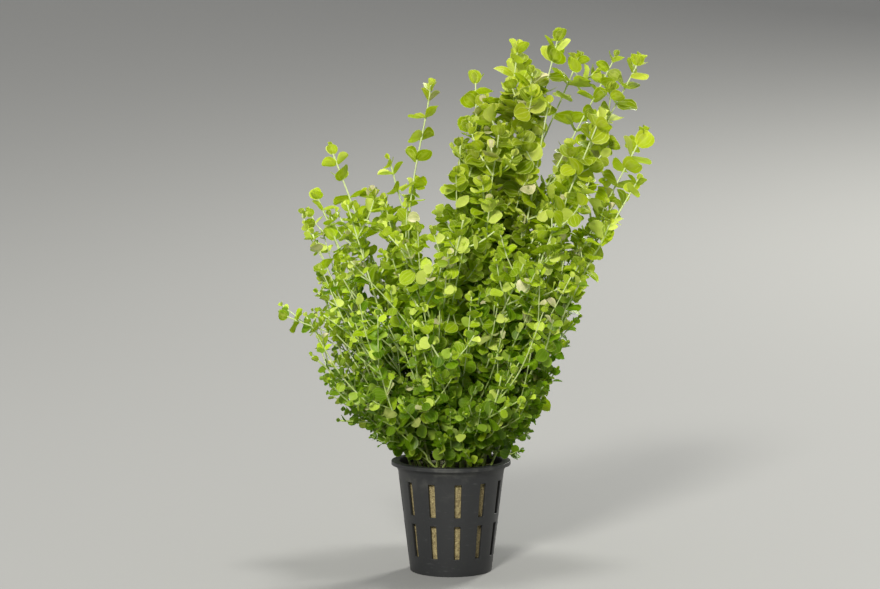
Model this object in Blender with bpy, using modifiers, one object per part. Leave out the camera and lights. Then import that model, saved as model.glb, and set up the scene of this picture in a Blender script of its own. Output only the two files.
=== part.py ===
"""A bushy stem plant, Micranthemum umbrosum, planted in a slotted net pot.

The pot stands on Z = 0 with its axis on the Z axis. A plug of mineral wool
fills it, and every shoot is planted in a hole of its own in that plug. The
front of the plant faces -Y, and its crown leans to the right, +X. A shoot is
a square stem with opposite pairs of round leaves, each pair turned a quarter
from the last, and the leaves are drawn out of the faces of the stem.
"""

import math
import random

import bmesh
import bpy
import numpy as np
from mathutils import Vector
from mathutils.kdtree import KDTree

MM = 0.001
TOUCHING = 0.01 * MM
SMOOTH_BELOW = math.radians(30)

# The pot, in metres
POT_HEIGHT = 50 * MM
POT_TOP_RADIUS = 24.5 * MM
POT_FOOT_RADIUS = 18.5 * MM
POT_WALL = 1.2 * MM
POT_FLOOR = 1.6 * MM
RIM_RADIUS = 27 * MM
RIM_DEPTH = 1.8 * MM
POT_SIDES = 24
SLOT_WIDTH = 2.8 * MM
SLOT_LENGTH = 15 * MM
SLOT_STARTS = (8 * MM, 27 * MM)
FLOOR_SLOTS = 6
FLOOR_SLOT_START = 7.5 * MM
FLOOR_SLOT_LENGTH = 6.5 * MM

# The wool plug and the holes in it, in metres
PLUG_GAP = 0.4 * MM
PLUG_TOP = 47 * MM
HOLE_DEPTH = 6 * MM
HOLE_RADIUS = 1.8 * MM
HOLE_FLOOR_GAP = 0.5 * MM
FEET_REACH = 19 * MM
FEET_SPACING = 4 * MM
FEET_ROUNDS = 300
FEET_PUSH = 0.25

# The stems, in metres
STEM_RADIUS = 0.7 * MM
STEM_SPACING = 3.4 * MM
COLLAR = 2 * MM
PATH_STEP = 2 * MM
CURVE_SAMPLES = 24
BOW = 9 * MM
BEND_RISE = 0.45
BEND_LEAN = 0.30
PARTING_ROUNDS = 40
PARTING_REACH = 9
PARTING_PUSH = 0.2
PARTING_START = 5 * MM
GROWTH_SEED = 5

# The leaves, in metres and degrees
PAIR_SPACING = 23 * MM
LOWEST_PAIR = 14 * MM
NODE_HEIGHT = 1.4 * MM
LEAF_LENGTH = 10 * MM
LEAF_WIDTH = 9.6 * MM
LEAF_THICKNESS = 0.5 * MM
LEAF_SPACING = 2.2 * MM
LEAF_TRIES = 8
RIM_CLEARANCE = 1 * MM
TOP_PAIR_RAISE = (25, 50)
PAIR_RAISE = (-30, 55)
LEAF_TWIST = 35

# Each leaf's outline from its stalk to its tip: shares of its length, width and thickness
LEAF_SECTIONS = ((0.55, 1.0, 1.0), (1.0, 0.45, 0.0))

# Where each stem ends, in millimetres from the middle of the pot's foot
TIPS_MM = {
    "crown": (
        (48, 2, 241), (30, 6, 236), (36, -8, 224), (58, 12, 232),
        (43, -13, 211), (11, 8, 222), (4, -10, 192), (21, -22, 199),
    ),
    "right": (
        (74, 8, 232), (84, -2, 230), (87, 6, 198), (83, -10, 177),
        (66, -18, 206), (62, 24, 190),
    ),
    "flank": ((67, 2, 151), (57, -24, 133), (52, 16, 114), (45, -4, 90)),
    "left": (
        (-9, 4, 219), (-28, 10, 186), (-35, -8, 172), (-54, 2, 191),
        (-46, -14, 166), (-61, 8, 170), (-62, -8, 153), (-55, 18, 130),
    ),
    "trailing": ((-76, 0, 116), (-62, -14, 99), (-58, 10, 86), (-50, -8, 69)),
    "front": (
        (-20, -36, 150), (5, -42, 160), (32, -38, 143),
        (-32, -42, 98), (0, -54, 104), (24, -46, 80),
    ),
    "back": (
        (-24, 40, 138), (4, 44, 158), (36, 44, 164), (-8, 52, 92), (30, 48, 96),
    ),
}

# Points that the stems with a marked bend pass on their way, in millimetres
BENDS_MM = {
    "left_1": ((-19, 3, 145),),
    "trailing_1": ((-34, 5, 95),),
    "trailing_4": ((-30, -6, 66),),
}


def clear_scene():
    """Removes whatever the file holds, so that only this plant is in it."""
    for item in list(bpy.data.objects):
        bpy.data.objects.remove(item)


def make_collection(name):
    """A new collection in the scene."""
    group = bpy.data.collections.new(name)
    bpy.context.scene.collection.children.link(group)
    return group


def make_material(name, colour, roughness):
    """A Principled material with one colour and one roughness."""
    material = bpy.data.materials.new(name)
    material.use_nodes = True
    shader = material.node_tree.nodes["Principled BSDF"]
    shader.inputs["Base Color"].default_value = (*colour, 1.0)
    shader.inputs["Roughness"].default_value = roughness
    shader.inputs["Metallic"].default_value = 0.0
    return material


def add_object(name, bm, material, group):
    """Turns a bmesh into an object of the group."""
    mesh = bpy.data.meshes.new(name)
    bm.to_mesh(mesh)
    bm.free()
    if material:
        mesh.materials.append(material)
    item = bpy.data.objects.new(name, mesh)
    group.objects.link(item)
    return item


def round_off(item):
    """Makes an object's modifiers real and shades its round walls smooth."""
    graph = bpy.context.evaluated_depsgraph_get()
    mesh = bpy.data.meshes.new_from_object(item.evaluated_get(graph))
    item.modifiers.clear()
    item.data = mesh
    mesh.shade_smooth()
    mesh.set_sharp_from_angle(angle=SMOOTH_BELOW)


def cut_out(target, name, bm, group):
    """Cuts the shapes in a bmesh out of the target."""
    cutter = add_object(name, bm, None, group)
    cutter.hide_render = True
    cutter.display_type = "WIRE"
    cut = target.modifiers.new(name, "BOOLEAN")
    cut.operation = "DIFFERENCE"
    cut.object = cutter


def wall_radius(z):
    """The radius of the pot's outer wall at a height."""
    return POT_FOOT_RADIUS + (POT_TOP_RADIUS - POT_FOOT_RADIUS) * z / POT_HEIGHT


def add_slot(bm, reach, z, size, turn):
    """Adds a box of that size, set out from the pot's axis in the direction of the turn."""
    made = bmesh.ops.create_cube(bm, size=1.0)["verts"]
    bmesh.ops.scale(bm, vec=size, verts=made)
    bmesh.ops.translate(bm, vec=(reach, 0, z), verts=made)
    cosine, sine = math.cos(turn), math.sin(turn)
    for vert in made:
        x, y = vert.co.x, vert.co.y
        vert.co.x = x * cosine - y * sine
        vert.co.y = x * sine + y * cosine


def build_pot(material, group, cutters):
    """The turned pot: a flat foot, a tapered wall with rows of slots, and a flat rim."""
    under_rim = POT_HEIGHT - RIM_DEPTH
    profile = (
        (0, POT_FLOOR),
        (wall_radius(POT_FLOOR) - POT_WALL, POT_FLOOR),
        (POT_TOP_RADIUS - POT_WALL, POT_HEIGHT),
        (RIM_RADIUS, POT_HEIGHT),
        (RIM_RADIUS, under_rim),
        (wall_radius(under_rim), under_rim),
        (POT_FOOT_RADIUS, 0),
        (0, 0),
    )
    bm = bmesh.new()
    corners = [bm.verts.new((radius, 0, z)) for radius, z in profile]
    for first, second in zip(corners, corners[1:]):
        bm.edges.new((first, second))
    pot = add_object("net_pot", bm, material, group)
    turned = pot.modifiers.new("turned", "SCREW")
    turned.steps = turned.render_steps = POT_SIDES
    turned.use_merge_vertices = True
    turned.merge_threshold = TOUCHING
    round_off(pot)

    facet = math.tau / POT_SIDES
    slots = bmesh.new()
    for start in SLOT_STARTS:
        middle = start + SLOT_LENGTH / 2
        for index in range(0, POT_SIDES, 2):
            size = (8 * POT_WALL, SLOT_WIDTH, SLOT_LENGTH)
            add_slot(slots, wall_radius(middle), middle, size, (index + 0.5) * facet)
    for index in range(FLOOR_SLOTS):
        reach = FLOOR_SLOT_START + FLOOR_SLOT_LENGTH / 2
        size = (FLOOR_SLOT_LENGTH, SLOT_WIDTH, 4 * POT_FLOOR)
        add_slot(slots, reach, POT_FLOOR / 2, size, math.tau * index / FLOOR_SLOTS)
    cut_out(pot, "pot_slots", slots, cutters)


def build_plug(feet, material, group, cutters):
    """The wool that fills the pot, with a planting hole round every foot."""
    low = POT_FLOOR + PLUG_GAP
    inside = POT_WALL + PLUG_GAP
    bm = bmesh.new()
    bmesh.ops.create_cone(
        bm,
        cap_ends=True,
        segments=POT_SIDES,
        radius1=wall_radius(low) - inside,
        radius2=wall_radius(PLUG_TOP) - inside,
        depth=PLUG_TOP - low,
    )
    bmesh.ops.translate(bm, vec=(0, 0, (PLUG_TOP + low) / 2), verts=bm.verts)
    plug = add_object("wool_plug", bm, material, group)
    round_off(plug)

    holes = bmesh.new()
    for x, y in feet:
        made = bmesh.ops.create_cone(
            holes,
            cap_ends=True,
            segments=4,
            radius1=HOLE_RADIUS,
            radius2=HOLE_RADIUS,
            depth=2 * HOLE_DEPTH,
        )["verts"]
        bmesh.ops.translate(holes, vec=(x, y, PLUG_TOP), verts=made)
    cut_out(plug, "planting_holes", holes, cutters)


def name_tips():
    """Each shoot's name with the place of its tip, in metres."""
    named = {}
    for part, ends in TIPS_MM.items():
        for number, end in enumerate(ends, 1):
            named[f"{part}_{number}"] = np.array(end) * MM
    return named


def settle_feet(tips):
    """Feet drawn in from under the tips, then pushed apart until none crowds another."""
    plan = np.array([tip[:2] for tip in tips])
    feet = plan * FEET_REACH / np.linalg.norm(plan, axis=1).max()
    for _ in range(FEET_ROUNDS):
        apart = feet[:, None] - feet[None]
        distance = np.maximum(np.linalg.norm(apart, axis=2), TOUCHING)
        crowding = np.clip(FEET_SPACING - distance, 0, None) / distance
        feet = feet + FEET_PUSH * (apart * crowding[:, :, None]).sum(axis=1)
        reach = np.linalg.norm(feet, axis=1)
        feet = feet * np.minimum(1.0, FEET_REACH / np.maximum(reach, MM))[:, None]
    return feet


def smooth_curve(points):
    """Points PATH_STEP apart on a Catmull-Rom curve through the given ones."""
    ends = np.vstack([2 * points[0] - points[1], points, 2 * points[-1] - points[-2]])
    drawn = []
    for before, start, end, after in zip(ends, ends[1:], ends[2:], ends[3:]):
        for t in np.linspace(0, 1, CURVE_SAMPLES, endpoint=False):
            bend = 2 * before - 5 * start + 4 * end - after
            twist = 3 * start - before - 3 * end + after
            drawn.append(start + 0.5 * ((end - before) * t + bend * t**2 + twist * t**3))
    drawn = np.array([*drawn, points[-1]])
    along = distance_along(drawn)
    wanted = np.linspace(0, along[-1], round(along[-1] / PATH_STEP))
    return np.column_stack([np.interp(wanted, along, drawn[:, k]) for k in range(3)])


def distance_along(path):
    """How far along the path each of its points lies."""
    return np.r_[0, np.cumsum(np.linalg.norm(np.diff(path, axis=0), axis=1))]


def route_stem(name, tip, foot, chance):
    """The line that a stem takes: straight up out of its hole, then in a slow bow to its tip."""
    start = np.array([*foot, PLUG_TOP - HOLE_DEPTH + HOLE_FLOOR_GAP])
    collar = np.array([*foot, PLUG_TOP + COLLAR])
    bow = np.array([chance.uniform(-BOW, BOW), chance.uniform(-BOW, BOW), 0])
    if name in BENDS_MM:
        bends = np.array(BENDS_MM[name]) * MM
    else:
        share = np.array([BEND_LEAN, BEND_LEAN, BEND_RISE])
        bends = (collar + (tip - collar) * share + bow)[None]
    return smooth_curve(np.vstack([start, collar, bends, tip]))


def part_stems(paths):
    """Bends the stems round each other where they would touch. Feet and tips stay."""
    kernel = np.hanning(PARTING_REACH + 2)[1:-1]
    for _ in range(PARTING_ROUNDS):
        tree = KDTree(sum(len(path) for path in paths))
        owners = []
        for owner, path in enumerate(paths):
            for point in path:
                tree.insert(point, len(owners))
                owners.append(owner)
        tree.balance()
        for owner, path in enumerate(paths):
            push = np.zeros_like(path)
            for place, point in enumerate(path):
                for other, index, distance in tree.find_range(point, STEM_SPACING):
                    if owners[index] != owner:
                        away = (point - np.array(other)) / max(distance, TOUCHING)
                        push[place] += PARTING_PUSH * away * (STEM_SPACING - distance)
            if push.any():
                spread = [np.convolve(push[:, k], kernel, "same") for k in range(3)]
                above = (path[:, 2] - PLUG_TOP - COLLAR) / PARTING_START
                below = np.arange(len(path))[::-1] / PARTING_REACH
                free = np.clip(np.minimum(above, below), 0, 1)
                path += np.column_stack(spread) * free[:, None]
    return paths


def point_at(path, along, place):
    """The point of a path that lies that far along it."""
    return Vector([float(np.interp(place, along, path[:, k])) for k in range(3)])


def pair_places(path, along):
    """How far along a stem its leaf pairs grow, from the tip down."""
    lowest = along[np.argmax(path[:, 2] > PLUG_TOP + LOWEST_PAIR)]
    places = [along[-1] - NODE_HEIGHT]
    while places[-1] - PAIR_SPACING > lowest:
        places.append(places[-1] - PAIR_SPACING)
    return places


def ring_points(path, along, places):
    """The middles of a stem's rings: foot, collar, two at each leaf pair, and tip."""
    stations = [0.0, HOLE_DEPTH - HOLE_FLOOR_GAP + COLLAR, float(along[-1])]
    for place in places:
        stations += [place - NODE_HEIGHT / 2, place + NODE_HEIGHT / 2]
    stations.append((stations[1] + places[-1]) / 2)
    return np.array([point_at(path, along, station) for station in sorted(stations)])


def fill_in(rings):
    """Points PATH_STEP apart on the straight runs between a stem's rings."""
    along = distance_along(rings)
    wanted = np.arange(0, along[-1], PATH_STEP)
    return np.column_stack([np.interp(wanted, along, rings[:, k]) for k in range(3)])


def build_stem(name, rings):
    """The bare square stem as a bmesh."""
    curve = bpy.data.curves.new(name, "CURVE")
    curve.dimensions = "3D"
    curve.bevel_depth = STEM_RADIUS
    curve.bevel_resolution = 0
    curve.use_fill_caps = True
    line = curve.splines.new("POLY")
    line.points.add(len(rings) - 1)
    for point, ring in zip(line.points, rings):
        point.co = (*ring, 1.0)
    drawn = bpy.data.objects.new(name, curve)
    bpy.context.scene.collection.objects.link(drawn)
    graph = bpy.context.evaluated_depsgraph_get()
    mesh = bpy.data.meshes.new_from_object(drawn.evaluated_get(graph))
    bm = bmesh.new()
    bm.from_mesh(mesh)
    bmesh.ops.remove_doubles(bm, verts=bm.verts, dist=TOUCHING)
    bpy.data.objects.remove(drawn)
    bpy.data.curves.remove(curve)
    bpy.data.meshes.remove(mesh)
    return bm


def node_faces(bm, node, upward):
    """The four side faces of the short ring at a node, in order round the stem."""
    ring = []
    for face in bm.faces:
        near = (face.calc_center_median() - node).length < NODE_HEIGHT / 2
        if near and abs(face.normal.dot(upward)) < 0.5:
            ring.append(face)
    front = ring[0].normal.copy()
    side = upward.cross(front)
    ring.sort(key=lambda face: math.atan2(face.normal.dot(side), face.normal.dot(front)))
    return ring


def leaf_axes(outward, upward, raised, twisted):
    """A leaf's own directions: along it, across it, and out of its upper face."""
    axis = (outward * math.cos(raised) + upward * math.sin(raised)).normalized()
    level = upward.cross(outward).normalized()
    upper = axis.cross(level)
    across = level * math.cos(twisted) + upper * math.sin(twisted)
    return axis, across, axis.cross(across)


def sample_leaf(base, axis, across):
    """Points spread over a leaf, to see whether it has room."""
    points = []
    for reach in (0.3, 0.55, 0.8, 1.0):
        width = np.interp(reach, (0, 0.55, 1.0), (0.15, 1.0, 0.45))
        for side in (-0.5, -0.25, 0, 0.25, 0.5):
            points.append(base + axis * LEAF_LENGTH * reach + across * LEAF_WIDTH * width * side)
    return np.array(points)


def has_room(points, taken):
    """True where no taken point lies within LEAF_SPACING of these points."""
    apart = np.linalg.norm(points[:, None] - taken[None], axis=2)
    return apart.min() > LEAF_SPACING


def draw_leaf(bm, face, upward, axis, across, upper):
    """Draws a leaf out of a face of the stem, section by section."""
    base = face.calc_center_median()
    sideways, over = upward.cross(face.normal), upward
    for reach, width, thickness in LEAF_SECTIONS:
        middle = face.calc_center_median()
        face = bmesh.ops.extrude_discrete_faces(bm, faces=[face])["faces"][0]
        centre = base + axis * LEAF_LENGTH * reach
        for vert in face.verts:
            offset = vert.co - middle
            side = math.copysign(LEAF_WIDTH * width / 2, offset.dot(sideways))
            height = math.copysign(LEAF_THICKNESS * thickness / 2, offset.dot(over))
            vert.co = centre + across * side + upper * height
        sideways, over = across, upper
    bmesh.ops.remove_doubles(bm, verts=list(face.verts), dist=TOUCHING)


def grow_pair(bm, ring, rank, upward, stems, leaves, chance):
    """Grows the two leaves of a pair, each turned until it has room, or left out."""
    lowest, highest = PAIR_RAISE if rank else TOP_PAIR_RAISE
    for face in ring[rank % 2 :: 2]:
        outward = face.normal.copy()
        base = face.calc_center_median()
        taken = np.vstack([stems, *leaves])
        for _ in range(LEAF_TRIES):
            raised = math.radians(chance.uniform(lowest, highest))
            twisted = math.radians(chance.uniform(-LEAF_TWIST, LEAF_TWIST))
            axis, across, upper = leaf_axes(outward, upward, raised, twisted)
            points = sample_leaf(base, axis, across)
            if points[:, 2].min() > POT_HEIGHT + RIM_CLEARANCE and has_room(points, taken):
                draw_leaf(bm, face, upward, axis, across, upper)
                leaves.append(points)
                break


def main():
    """Builds the pot and its plug, lays out the stems, and grows the leaves on them."""
    clear_scene()
    plant = make_collection("potted_micranthemum")
    cutters = make_collection("cutters")
    plastic = make_material("pot_plastic", (0.02, 0.021, 0.022), 0.45)
    wool = make_material("mineral_wool", (0.30, 0.25, 0.13), 0.95)
    leafage = make_material("leafage", (0.32, 0.52, 0.04), 0.5)

    chance = random.Random(GROWTH_SEED)
    tips = name_tips()
    feet = settle_feet(tips.values())
    build_pot(plastic, plant, cutters)
    build_plug(feet, wool, plant, cutters)
    paths = part_stems(
        [route_stem(name, tips[name], foot, chance) for name, foot in zip(tips, feet)]
    )

    lengths = [distance_along(path) for path in paths]
    pairs = [pair_places(path, along) for path, along in zip(paths, lengths)]
    stems = [ring_points(*each) for each in zip(paths, lengths, pairs)]
    runs = [fill_in(rings) for rings in stems]
    leaves = [np.zeros((1, 3))]
    for index, name in enumerate(tips):
        path, along = paths[index], lengths[index]
        others = np.vstack(runs[:index] + runs[index + 1 :])
        bm = build_stem(name, stems[index])
        for rank, place in enumerate(pairs[index]):
            node = point_at(path, along, place)
            above = point_at(path, along, place + NODE_HEIGHT / 2)
            below = point_at(path, along, place - NODE_HEIGHT / 2)
            upward = (above - below).normalized()
            ring = node_faces(bm, node, upward)
            grow_pair(bm, ring, rank, upward, others, leaves, chance)
        add_object("shoot_" + name, bm, leafage, plant)


if __name__ == "__main__":
    main()
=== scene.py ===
"""Dresses the potted Micranthemum umbrosum on its fixed frame.

Each shoot of the frame is replaced by a leafy one that takes the same line: a
thin pale stem with round leaves in opposite pairs, each pair a quarter turn
from the last, and side shoots from the leaf axils. The pot and its wool are
replaced by finer ones of the same sizes. Lengths are in metres, with +Z up
and the front of the plant facing -Y.
"""

import logging
import math
import random
from dataclasses import dataclass, field
from enum import Enum
from itertools import product
from typing import Any, Callable, Sequence, Union

import bmesh
import bpy
import numpy as np
from mathutils import Matrix, Vector, noise
from mathutils.kdtree import KDTree


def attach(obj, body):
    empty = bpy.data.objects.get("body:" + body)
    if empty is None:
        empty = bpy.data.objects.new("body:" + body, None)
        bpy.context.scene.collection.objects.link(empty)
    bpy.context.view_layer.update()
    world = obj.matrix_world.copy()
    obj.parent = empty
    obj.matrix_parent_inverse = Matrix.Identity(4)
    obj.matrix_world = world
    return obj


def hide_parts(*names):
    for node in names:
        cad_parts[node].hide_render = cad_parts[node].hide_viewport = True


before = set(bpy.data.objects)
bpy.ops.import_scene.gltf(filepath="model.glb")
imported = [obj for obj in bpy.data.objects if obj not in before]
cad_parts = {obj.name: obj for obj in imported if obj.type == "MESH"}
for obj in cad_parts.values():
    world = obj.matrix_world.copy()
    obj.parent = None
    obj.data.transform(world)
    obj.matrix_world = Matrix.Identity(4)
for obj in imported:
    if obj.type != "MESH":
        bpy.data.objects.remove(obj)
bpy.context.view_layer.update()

log = logging.getLogger("potted_micranthemum")

MM = 0.001
TOUCHING = 0.01 * MM
BLADE_MAP = "blade"
TINT = "tint"

Colour = tuple[float, float, float]
Place = tuple[float, float, float]
Number = Union[int, float, "Signal"]
Shape = bmesh.types.BMesh
Span = tuple[float, float]


def mm(*values: float) -> tuple[float, ...]:
    """Millimetres as metres."""
    return tuple(value * MM for value in values)


# Shader maths


class Signal:
    """A value that varies over a surface, as a socket that takes part in sums."""

    def __init__(self, wires: "Wires", socket: bpy.types.NodeSocket) -> None:
        """Remembers the socket and the node tree that it belongs to."""
        self.wires = wires
        self.socket = socket

    def _math(self, operation: str, *values: Number) -> "Signal":
        """Adds one Math node that works on the values in order."""
        return self.wires.node("ShaderNodeMath", {"operation": operation}, dict(enumerate(values)))

    def __add__(self, other: Number) -> "Signal":
        """The sum of the two."""
        return self._math("ADD", self, other)

    def __sub__(self, other: Number) -> "Signal":
        """This less the other."""
        return self._math("SUBTRACT", self, other)

    def __rsub__(self, other: Number) -> "Signal":
        """The other less this."""
        return self._math("SUBTRACT", other, self)

    def __mul__(self, other: Number) -> "Signal":
        """The product of the two."""
        return self._math("MULTIPLY", self, other)

    def __pow__(self, power: Number) -> "Signal":
        """This to a power."""
        return self._math("POWER", self, power)

    def __abs__(self) -> "Signal":
        """This without its sign."""
        return self._math("ABSOLUTE", self)

    __radd__ = __add__
    __rmul__ = __mul__

    def sine(self) -> "Signal":
        """The sine of this, in radians."""
        return self._math("SINE", self)

    def most(self, other: Number) -> "Signal":
        """The greater of the two."""
        return self._math("MAXIMUM", self, other)

    def rise(self, low: float, high: float) -> "Signal":
        """A smooth step, 0 up to the low value and 1 from the high one."""
        settings = {"interpolation_type": "SMOOTHSTEP"}
        return self.wires.node("ShaderNodeMapRange", settings, {0: self, 1: low, 2: high})


class Wires:
    """The node tree of one material, with a method that adds any node to it."""

    def __init__(self, name: str) -> None:
        """Starts an empty material.

        Args:
            name: Its name.
        """
        self.material = bpy.data.materials.new(name)
        self.material.use_nodes = True
        self.tree = self.material.node_tree
        self.tree.nodes.clear()

    def node(
        self,
        kind: str,
        settings: dict[str, Any] | None = None,
        sockets: dict[int | str, Any] | None = None,
        out: int | str = 0,
    ) -> Signal:
        """Adds a node, sets it up and feeds its sockets.

        Args:
            kind: The node's type.
            settings: The node's own settings, which are set first.
            sockets: What each input holds, by its name or number: a Signal, a number or a tuple.
            out: The output wanted, by its name or number.

        Returns:
            That output.
        """
        made = self.tree.nodes.new(kind)
        for key, value in (settings or {}).items():
            setattr(made, key, value)
        for key, value in (sockets or {}).items():
            if isinstance(value, Signal):
                self.tree.links.new(value.socket, made.inputs[key])
            elif isinstance(value, tuple) and len(made.inputs[key].default_value) > len(value):
                made.inputs[key].default_value = (*value, 1.0)
            else:
                made.inputs[key].default_value = value
        return Signal(self, made.outputs[out])

    def split(self, value: Signal) -> tuple[Signal, ...]:
        """The three numbers of a colour or a vector."""
        parts = self.node("ShaderNodeSeparateXYZ", None, {0: value}).socket.node.outputs
        return tuple(Signal(self, part) for part in parts)

    def blend(self, share: Number, first: Any, second: Any, mode: str = "MIX") -> Signal:
        """Lays a share of the second colour or Signal over the first."""
        settings = {"data_type": "RGBA", "blend_type": mode}
        return self.node("ShaderNodeMix", settings, {0: share, 6: first, 7: second}, out=2)

    def spots(self, place: Signal, scale: float, detail: float = 2.0, rough: float = 0.5) -> Signal:
        """Cloudy noise with the scale given in spots per metre."""
        sockets = {"Vector": place, "Scale": scale, "Detail": detail, "Roughness": rough}
        return self.node("ShaderNodeTexNoise", None, sockets)

    def place(self) -> Signal:
        """Where a point of the surface is, in metres in the frame."""
        return self.node("ShaderNodeTexCoord", out="Object")

    def height(self) -> Signal:
        """How high a point of the surface is, in metres."""
        return self.split(self.place())[2]

    def stretched(self, place: Signal, scale: Place) -> Signal:
        """The place, scaled differently along each axis."""
        return self.node("ShaderNodeMapping", None, {"Vector": place, "Scale": scale})

    def bump(self, height: Signal, distance: float, strength: float) -> Signal:
        """A normal for relief of that height, with its depth in metres."""
        sockets = {"Height": height, "Distance": distance, "Strength": strength}
        return self.node("ShaderNodeBump", None, sockets)

    def skin(self, sockets: dict[str, Any]) -> Signal:
        """The Principled shader with those values."""
        return self.node("ShaderNodeBsdfPrincipled", None, sockets)

    def lit_through(self, share: Number, skin: Signal, glow: Colour) -> Signal:
        """Lets a share of the light through the skin, in the colour of the glow."""
        through = self.node("ShaderNodeBsdfTranslucent", None, {"Color": glow})
        return self.node("ShaderNodeMixShader", None, {0: share, 1: skin, 2: through})

    def done(self, shader: Signal) -> bpy.types.Material:
        """Sends the shader to the surface.

        Args:
            shader: The finished shader.

        Returns:
            The finished material.
        """
        output = self.tree.nodes.new("ShaderNodeOutputMaterial")
        self.tree.links.new(shader.socket, output.inputs["Surface"])
        return self.material


# Finishes


@dataclass(frozen=True)
class LeafFinish:
    """Thin living leaf: satin above, paler below, and lit through from behind."""

    name: str
    young: Colour
    grown: Colour
    shaded: Colour
    under: Colour
    vein: Colour
    blush: Colour
    glow: Colour
    light_through: float = 0.50
    roughness: float = 0.36
    shine: float = 0.32
    vein_places: tuple[float, ...] = (0.0, 0.55)
    vein_width: float = 0.07
    vein_share: float = 0.42
    rim_reach: Span = (0.78, 1.0)
    rim_share: float = 0.75
    under_share: float = 0.70
    cloud_scale: float = 260.0
    cloud_share: float = 0.35
    cloud_tint: Colour = (0.80, 0.86, 0.55)
    cell_scale: float = 1100.0
    drift_scale: float = 22.0
    drift_share: float = 0.45
    drift_tint: Colour = (0.68, 0.82, 0.45)
    dull_tint: Colour = (0.27, 0.34, 0.20)
    pale_tones: Span = (0.06, 0.26)
    pale_share: float = 0.65
    blush_tones: Span = (0.955, 0.965)
    # Painted light and shade by height: the blade turns to the shaded colour lower down, fading out between
    # these heights
    shade_heights: Span = mm(75, 215)
    shade_share: float = 0.85
    # Painted shade: leaves are darkened towards the bottom of the bush, fading out between these heights
    low_shade_heights: Span = mm(50, 92)
    low_shade_share: float = 0.9
    low_shade_tint: Colour = (0.54, 0.58, 0.50)
    relief: float = 0.08 * MM

    def veins(self, across: Signal, along: Signal) -> Signal:
        """The arching veins that run from the base of the blade to its tip.

        Args:
            across: 0 on the midrib and 1 at the margin.
            along: 0 at the base and 1 at the tip.

        Returns:
            1 on a vein and 0 off it.
        """
        belly = (along * math.pi).sine().most(0.0) ** 0.7
        found = None
        for place in self.vein_places:
            line = 1.0 - abs(across - belly * place).rise(0.0, self.vein_width)
            found = line if found is None else found.most(line)
        return found

    def material(self) -> bpy.types.Material:
        """Wires the leaf up.

        Returns:
            The material.
        """
        w = Wires(self.name)
        u, v, _ = w.split(w.node("ShaderNodeUVMap", {"uv_map": BLADE_MAP}))
        tint = w.node("ShaderNodeAttribute", {"attribute_name": TINT}, out="Vector")
        tone, age, side = w.split(tint)
        under = side.rise(0.55, 0.95)
        place = w.place()
        height = w.height()
        across = abs(u - 0.5) * 2.0
        veins = self.veins(across, v)
        rim = (across * across + (v * 2.0 - 1.0) ** 2.0).rise(*self.rim_reach)
        cloud = w.spots(place, self.cloud_scale, 3.0)
        cells = w.spots(place, self.cell_scale, 1.0)
        drift = w.spots(place, self.drift_scale, 1.0)
        blushing = tone.rise(*self.blush_tones) * (0.40 + cloud.rise(0.30, 0.70) * 0.40)
        layers = (
            # painted light and shade: the shaded colour lower down
            ((1.0 - height.rise(*self.shade_heights)) * self.shade_share, self.shaded, "MIX"),
            (drift.rise(0.40, 0.60) * self.drift_share, self.drift_tint, "MULTIPLY"),
            (tone.rise(0.10, 1.0), self.dull_tint, "MULTIPLY"),
            ((1.0 - tone.rise(*self.pale_tones)) * self.pale_share, self.vein, "MIX"),
            (cloud.rise(0.35, 0.75) * self.cloud_share, self.cloud_tint, "MULTIPLY"),
            (veins * self.vein_share, self.vein, "MIX"),
            (rim * self.rim_share, self.vein, "MIX"),
            (under * self.under_share, self.under, "MIX"),
            (blushing, self.blush, "MIX"),
            # painted shade: darker towards the bottom of the bush
            ((1.0 - height.rise(*self.low_shade_heights)) * self.low_shade_share, self.low_shade_tint, "MULTIPLY"),
        )
        blade = w.blend(age, self.young, self.grown)
        for share, colour, mode in layers:
            blade = w.blend(share, blade, colour, mode)
        sockets = {
            "Base Color": blade,
            "Roughness": self.roughness + cloud * 0.12 + under * 0.15,
            "Specular IOR Level": self.shine,
            "Normal": w.bump(cells * 0.5 - veins * 0.6, self.relief, 0.5),
        }
        through = self.light_through * (1.0 - blushing * 0.6)
        return w.done(w.lit_through(through, w.skin(sockets), self.glow))


@dataclass(frozen=True)
class StemFinish:
    """Juicy thin stem, green low down and paler high up, with whitish streaks along it."""

    name: str = "pale_stem"
    low: Colour = (0.44, 0.58, 0.12)
    high: Colour = (0.68, 0.78, 0.36)
    streak: Colour = (0.86, 0.88, 0.68)
    glow: Colour = (0.60, 0.78, 0.20)
    cloud_tint: Colour = (0.75, 0.72, 0.60)
    light_through: float = 0.22
    roughness: float = 0.38
    paling: Span = mm(55, 140)
    relief: float = 0.05 * MM

    def material(self) -> bpy.types.Material:
        """Wires the stem up.

        Returns:
            The material.
        """
        w = Wires(self.name)
        place = w.place()
        lines = w.spots(w.stretched(place, (1.0, 1.0, 0.06)), 1500.0, 2.0)
        cloud = w.spots(place, 120.0, 2.0)
        skin = w.blend(w.height().rise(*self.paling), self.low, self.high)
        skin = w.blend(lines.rise(0.45, 0.75) * 0.5, skin, self.streak)
        skin = w.blend(cloud.rise(0.5, 0.7) * 0.4, skin, self.cloud_tint, "MULTIPLY")
        sockets = {
            "Base Color": skin,
            "Roughness": self.roughness + cloud * 0.15,
            "Normal": w.bump(lines, self.relief, 0.5),
        }
        return w.done(w.lit_through(self.light_through, w.skin(sockets), self.glow))


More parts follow.
